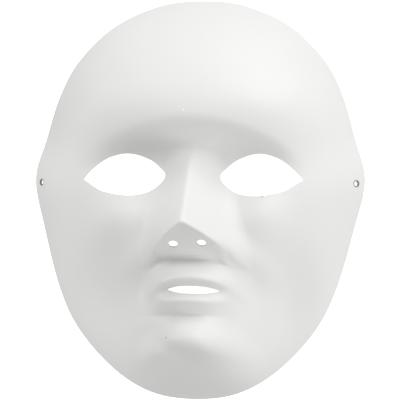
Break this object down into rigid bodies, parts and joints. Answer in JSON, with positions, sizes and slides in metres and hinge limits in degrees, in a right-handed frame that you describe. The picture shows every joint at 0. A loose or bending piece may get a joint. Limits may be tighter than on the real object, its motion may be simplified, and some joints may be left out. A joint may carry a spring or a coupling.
{
  "type": "full face mask",
  "caption": "Blank moulded plastic full face mask with cut eyes, nostrils and mouth, open at the back, with a punched strap hole at each temple.",
  "frame": {"origin": "middle of the plane that the rim lies in, so the mask lies face up with its rim at z = 0", "axes": "+Z out of the face, +Y from the middle towards the crown of the forehead, +X to the right as one looks at the face"},
  "size_m": [0.184, 0.22, 0.0526],
  "materials": {
    "white_plastic": "satin, unpainted, as moulded"
  },
  "bodies": {
    "root": {"mask_shell": "white_plastic"}
  },
  "joints": []
}
